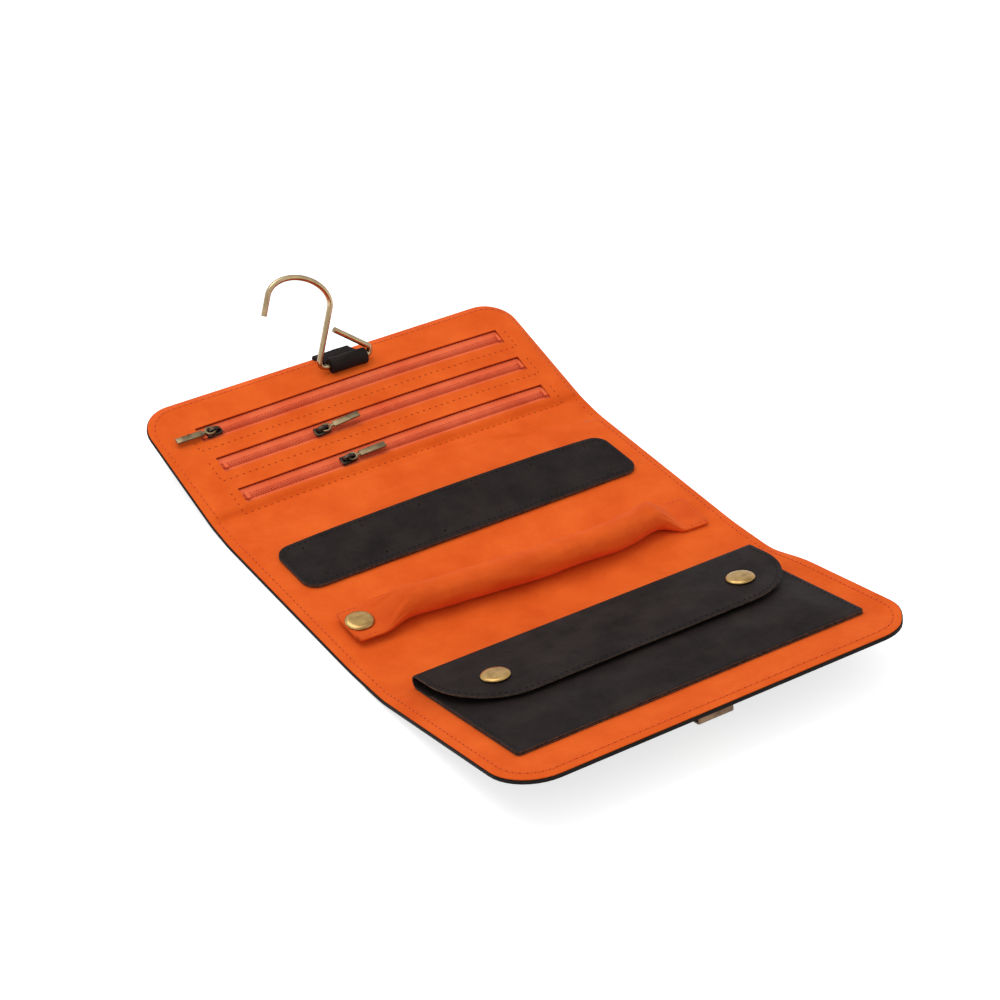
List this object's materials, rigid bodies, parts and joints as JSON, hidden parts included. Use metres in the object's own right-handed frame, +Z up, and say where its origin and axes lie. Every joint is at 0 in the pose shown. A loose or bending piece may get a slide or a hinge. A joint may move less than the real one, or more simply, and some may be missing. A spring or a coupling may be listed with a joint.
{
  "type": "jewelry pouch",
  "caption": "Folding leather jewelry pouch that opens flat, with zip pockets, a hanging hook, an earring strip, a snapped ring roll and a flap pouch",
  "frame": {"origin": "on the outer face of the middle panel, under its centre line, where the open pouch rests", "axes": "+Z up, +Y from the bottom panel to the hanger, +X to the right seen from the bottom panel"},
  "size_m": [0.2, 0.3221, 0.0737],
  "materials": {
    "cover_leather": "matte mottled black",
    "trim_leather": "matte black, brown raw edges",
    "lining_twill": "orange twill",
    "zip_tape": "coral woven tape",
    "elastic": "black elastic band",
    "board": "plain board",
    "wadding": "loose filling",
    "snap_brass": "satin gold brass",
    "antique_brass": "antique brass",
    "dark_bronze": "dark bronze",
    "hook_wire": "bright champagne brass"
  },
  "bodies": {
    "middle_panel": {"middle_cover": "cover_leather", "middle_board": "board", "middle_lining": "lining_twill", "roll_anchor_tab": "lining_twill", "roll_snap_stud": "snap_brass"},
    "upper_spine": {"upper_spine_cover": "cover_leather", "upper_spine_lining": "lining_twill", "closing_loop": "elastic"},
    "top_panel": {"top_cover": "cover_leather", "top_board": "board", "top_lining": "lining_twill", "hanger_loop": "trim_leather", "hook_sleeve": "trim_leather", "zip_1_upper_tape": "zip_tape", "zip_1_lower_tape": "zip_tape", "zip_1_left_stop": "dark_bronze", "zip_1_right_stop": "dark_bronze", "zip_1_pocket": "lining_twill", "zip_2_upper_tape": "zip_tape", "zip_2_lower_tape": "zip_tape", "zip_2_left_stop": "dark_bronze", "zip_2_right_stop": "dark_bronze", "zip_2_pocket": "lining_twill", "zip_3_upper_tape": "zip_tape", "zip_3_lower_tape": "zip_tape", "zip_3_left_stop": "dark_bronze", "zip_3_right_stop": "dark_bronze", "zip_3_pocket": "lining_twill"},
    "lower_spine": {"lower_spine_cover": "cover_leather", "lower_spine_lining": "lining_twill"},
    "bottom_panel": {"bottom_cover": "cover_leather", "bottom_board": "board", "bottom_lining": "lining_twill", "pouch_back": "trim_leather", "pouch_front": "trim_leather", "flap_left_stud": "snap_brass", "flap_right_stud": "snap_brass", "clasp_hook": "dark_bronze", "clasp_left_rivet": "dark_bronze", "clasp_right_rivet": "dark_bronze"},
    "hook": {"hanger_hook": "hook_wire"},
    "slider_1": {"zip_1_slider": "dark_bronze"},
    "slider_2": {"zip_2_slider": "dark_bronze"},
    "slider_3": {"zip_3_slider": "dark_bronze"},
    "pull_1": {"zip_1_pull": "antique_brass"},
    "pull_2": {"zip_2_pull": "antique_brass"},
    "pull_3": {"zip_3_pull": "antique_brass"},
    "strip": {"earring_strip": "trim_leather"},
    "ring_roll": {"roll_cover": "lining_twill", "roll_wadding": "wadding", "roll_snap_tab": "lining_twill", "roll_snap_cap": "snap_brass", "roll_snap_socket": "snap_brass"},
    "flap": {"pouch_flap": "trim_leather", "flap_left_cap": "snap_brass", "flap_left_socket": "snap_brass", "flap_right_cap": "snap_brass", "flap_right_socket": "snap_brass"}
  },
  "joints": [
    {"name": "upper_fold", "type": "hinge", "parent": "middle_panel", "child": "upper_spine", "pos_m": [0, 0.059, 0], "axis": [1, 0, 0], "range_deg": [-7, 83]},
    {"name": "upper_fold_outer", "type": "hinge", "parent": "upper_spine", "child": "top_panel", "pos_m": [0, 0.07424, 0.00187], "axis": [1, 0, 0], "range_deg": [-7, 83]},
    {"name": "lower_fold", "type": "hinge", "parent": "middle_panel", "child": "lower_spine", "pos_m": [0, -0.047, 0], "axis": [-1, 0, 0], "range_deg": [-3.9, 86.1]},
    {"name": "lower_fold_outer", "type": "hinge", "parent": "lower_spine", "child": "bottom_panel", "pos_m": [0, -0.07404, 0.00184], "axis": [-1, 0, 0], "range_deg": [-9.1, 80.9]},
    {"name": "hook_swing", "type": "hinge", "parent": "top_panel", "child": "hook", "pos_m": [0.0052, 0.1326, 0.02488], "axis": [1, 0, 0], "range_deg": [-64, 116]},
    {"name": "zip_1_slide", "type": "slide", "parent": "top_panel", "child": "slider_1", "axis": [-1, 0, 0], "range_m": [-0.15, 0]},
    {"name": "zip_2_slide", "type": "slide", "parent": "top_panel", "child": "slider_2", "axis": [-1, 0, 0], "range_m": [-0.1045, 0.0455]},
    {"name": "zip_3_slide", "type": "slide", "parent": "top_panel", "child": "slider_3", "axis": [-1, 0, 0], "range_m": [-0.1025, 0.0475]},
    {"name": "zip_1_pull_turn", "type": "hinge", "parent": "slider_1", "child": "pull_1", "pos_m": [-0.073, 0.12009, 0.02011], "axis": [0, -0.9703, -0.2419], "range_deg": [-180, 0]},
    {"name": "zip_2_pull_turn", "type": "hinge", "parent": "slider_2", "child": "pull_2", "pos_m": [-0.0275, 0.1002, 0.01515], "axis": [0, -0.9703, -0.2419], "range_deg": [-8, 172]},
    {"name": "zip_3_pull_turn", "type": "hinge", "parent": "slider_3", "child": "pull_3", "pos_m": [-0.0255, 0.07982, 0.01006], "axis": [0, -0.9703, -0.2419], "range_deg": [-3, 177]},
    {"name": "strip_lift", "type": "hinge", "parent": "middle_panel", "child": "strip", "pos_m": [0, 0.0404, 0.00455], "axis": [1, 0, 0], "range_deg": [-100, 0]},
    {"name": "roll_lift", "type": "hinge", "parent": "middle_panel", "child": "ring_roll", "pos_m": [0.0761, -0.03266, 0.00475], "axis": [-0.0349, -0.9994, 0], "range_deg": [-60, 0]},
    {"name": "flap_lift", "type": "hinge", "parent": "bottom_panel", "child": "flap", "pos_m": [0, -0.075, 0.01192], "axis": [1, 0, 0], "range_deg": [-120, 0]}
  ]
}
